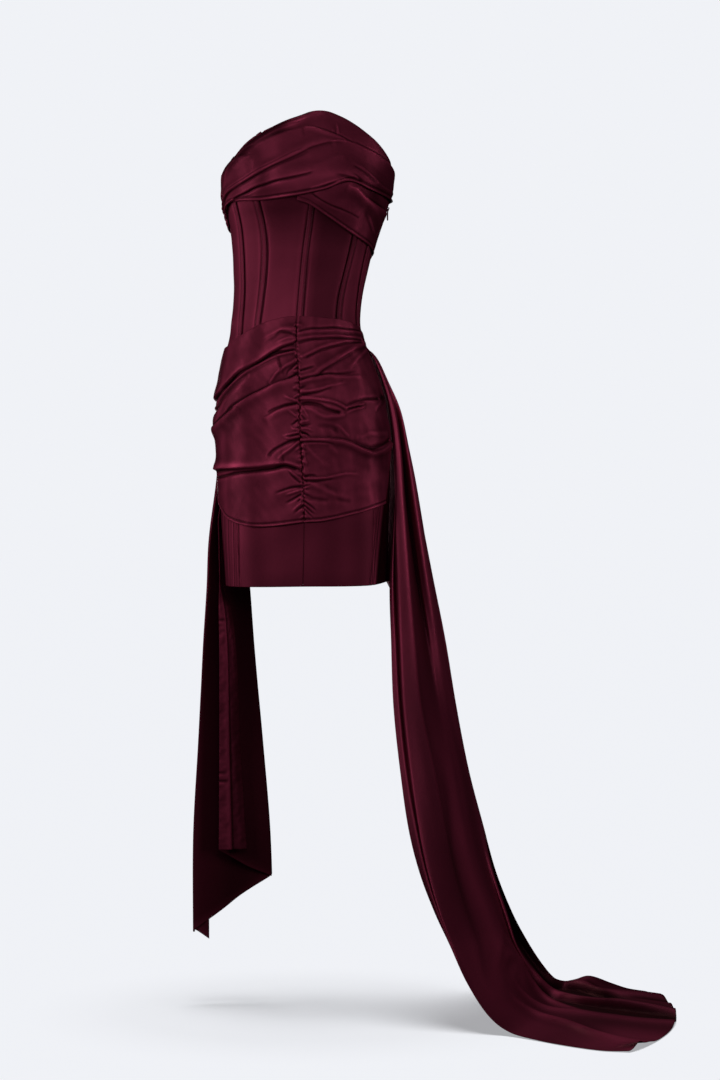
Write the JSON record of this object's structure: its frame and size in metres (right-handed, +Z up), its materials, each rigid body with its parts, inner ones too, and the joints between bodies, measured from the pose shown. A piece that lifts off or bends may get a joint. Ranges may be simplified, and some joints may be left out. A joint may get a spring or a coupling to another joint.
{
  "type": "strapless evening dress",
  "caption": "Strapless satin evening dress: boned corset bodice with a crossed bust drape, ruched overskirt over a fitted mini skirt, folded side tail and a long side train on the floor.",
  "frame": {"origin": "middle of the wearer's waist, inside the hollow, where the dress is held up", "axes": "+Z up, -Y the dress's front, +X the side of the zip and the train (the wearer's left)"},
  "size_m": [0.7687, 0.5459, 1.4221],
  "materials": {
    "satin": "heavy satin, soft sheen, wine red",
    "zip_metal": "dark red lacquered metal, satin"
  },
  "bodies": {
    "dress": {"corset_side_left": "satin", "corset_side_front_left": "satin", "corset_front_left": "satin", "corset_front_right": "satin", "corset_side_front_right": "satin", "corset_side_right": "satin", "corset_back_right": "satin", "corset_back_left": "satin", "bone_channel_far_left": "satin", "bone_channel_left": "satin", "bone_channel_centre": "satin", "bone_channel_right": "satin", "bone_channel_far_right": "satin", "skirt_side_left": "satin", "skirt_front_left": "satin", "skirt_front_right": "satin", "skirt_side_right": "satin", "skirt_back_right": "satin", "skirt_back_left": "satin", "bust_drape_upper": "satin", "bust_drape_cross": "satin", "bust_band_back": "satin", "overskirt_left": "satin", "overskirt_right": "satin", "tail_outer": "satin", "tail_inner": "satin", "train": "satin", "zip_chain": "zip_metal", "zip_slider": "zip_metal"},
    "zip_pull": {"zip_pull_tab": "zip_metal"}
  },
  "joints": [
    {"name": "pull_tab_hinge", "type": "hinge", "parent": "dress", "child": "zip_pull", "pos_m": [0.14032, 0.02361, 0.16157], "axis": [0.2798, -0.96, 0], "range_deg": [-15, 150]}
  ]
}
